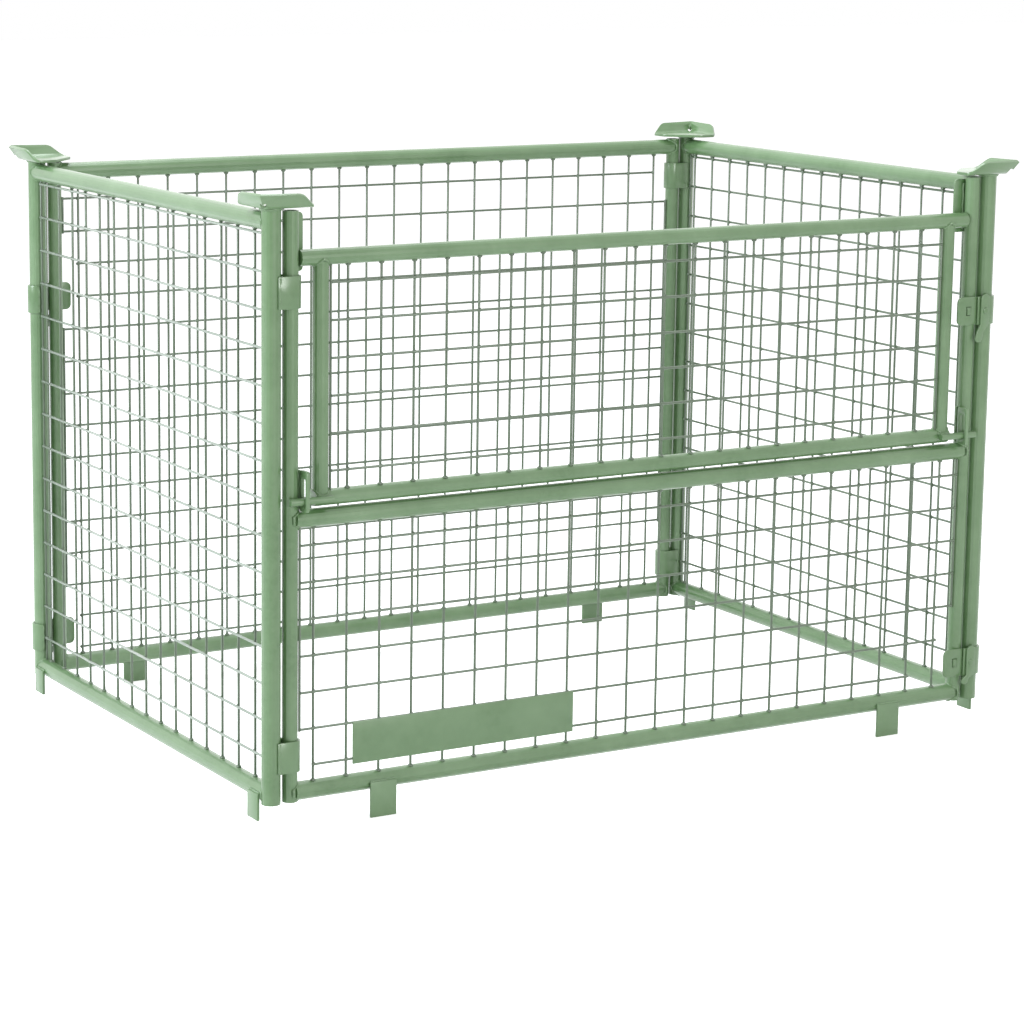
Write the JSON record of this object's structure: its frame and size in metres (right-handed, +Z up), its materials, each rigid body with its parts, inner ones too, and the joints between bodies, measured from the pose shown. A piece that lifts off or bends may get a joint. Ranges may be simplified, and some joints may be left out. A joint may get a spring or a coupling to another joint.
{
  "type": "pallet collar",
  "caption": "Folding steel mesh collar for a pallet: four tube-framed wire mesh walls, latched corners, lift-and-drop half gate and flared stacking plates.",
  "frame": {"origin": "centre of the collar in X and Y, at the lower ends of the front and rear locating tabs", "axes": "+X along the 1200 mm length, -Y towards the wall with the gate, +Z up"},
  "size_m": [1.247, 0.843, 0.8521],
  "materials": {
    "green_paint": "semi-gloss"
  },
  "bodies": {
    "rear_and_left_walls": {"rear_post_left": "green_paint", "rear_post_right": "green_paint", "rear_top_rail": "green_paint", "rear_bottom_rail": "green_paint", "rear_mesh": "green_paint", "rear_tab_left": "green_paint", "rear_tab_right": "green_paint", "rear_keeper_upper": "green_paint", "rear_keeper_lower": "green_paint", "left_post_front": "green_paint", "left_post_rear": "green_paint", "left_top_rail": "green_paint", "left_bottom_rail": "green_paint", "left_mesh": "green_paint", "left_tab_front": "green_paint", "left_tab_rear": "green_paint", "left_stack_plate_front": "green_paint", "left_stack_plate_rear": "green_paint", "left_hinge_band_upper": "green_paint", "left_hinge_band_lower": "green_paint", "left_latch_strap_upper": "green_paint", "left_latch_strap_lower": "green_paint"},
    "right_wall": {"right_post_front": "green_paint", "right_post_rear": "green_paint", "right_top_rail": "green_paint", "right_bottom_rail": "green_paint", "right_mesh": "green_paint", "right_tab_front": "green_paint", "right_tab_rear": "green_paint", "right_stack_plate_front": "green_paint", "right_stack_plate_rear": "green_paint", "right_hinge_band_upper": "green_paint", "right_hinge_band_lower": "green_paint", "right_latch_strap_upper": "green_paint", "right_latch_strap_lower": "green_paint"},
    "front_wall": {"front_post_left": "green_paint", "front_post_right": "green_paint", "front_mid_rail": "green_paint", "front_bottom_rail": "green_paint", "front_mesh": "green_paint", "sign_plate": "green_paint", "front_tab_left": "green_paint", "front_tab_right": "green_paint", "front_keeper_upper": "green_paint", "front_keeper_lower": "green_paint", "gate_pivot_left": "green_paint", "gate_pivot_right": "green_paint", "gate_stop_left": "green_paint", "gate_stop_right": "green_paint"},
    "gate_pins": {"gate_pin_left": "green_paint", "gate_pin_right": "green_paint"},
    "gate": {"gate_top_rail": "green_paint", "gate_bottom_rail": "green_paint", "gate_stile_left": "green_paint", "gate_stile_right": "green_paint", "gate_mesh": "green_paint"},
    "left_lever_upper": {"left_latch_lever_upper": "green_paint"},
    "left_lever_lower": {"left_latch_lever_lower": "green_paint"},
    "right_lever_upper": {"right_latch_lever_upper": "green_paint"},
    "right_lever_lower": {"right_latch_lever_lower": "green_paint"}
  },
  "joints": [
    {"name": "right_wall_swing", "type": "hinge", "parent": "rear_and_left_walls", "child": "right_wall", "pos_m": [0.5635, 0.3895, 0.4], "axis": [0, 0, 1], "range_deg": [0, 110]},
    {"name": "front_wall_swing", "type": "hinge", "parent": "rear_and_left_walls", "child": "front_wall", "pos_m": [-0.5635, -0.3895, 0.4], "axis": [0, 0, 1], "range_deg": [0, 40]},
    {"name": "gate_lift", "type": "slide", "parent": "front_wall", "child": "gate_pins", "axis": [0, 0, 1], "range_m": [0, 0.027]},
    {"name": "gate_turn", "type": "hinge", "parent": "gate_pins", "child": "gate", "pos_m": [0, -0.4058, 0.445], "axis": [1, 0, 0], "range_deg": [0, 178]},
    {"name": "left_lever_upper_turn", "type": "hinge", "parent": "rear_and_left_walls", "child": "left_lever_upper", "pos_m": [-0.581, 0.4061, 0.621], "axis": [0, 1, 0], "range_deg": [0, 90]},
    {"name": "left_lever_lower_turn", "type": "hinge", "parent": "rear_and_left_walls", "child": "left_lever_lower", "pos_m": [-0.581, 0.4061, 0.096], "axis": [0, 1, 0], "range_deg": [0, 90]},
    {"name": "right_lever_upper_turn", "type": "hinge", "parent": "right_wall", "child": "right_lever_upper", "pos_m": [0.581, -0.4061, 0.63], "axis": [0, -1, 0], "range_deg": [0, 90]},
    {"name": "right_lever_lower_turn", "type": "hinge", "parent": "right_wall", "child": "right_lever_lower", "pos_m": [0.581, -0.4061, 0.096], "axis": [0, -1, 0], "range_deg": [0, 90]}
  ]
}
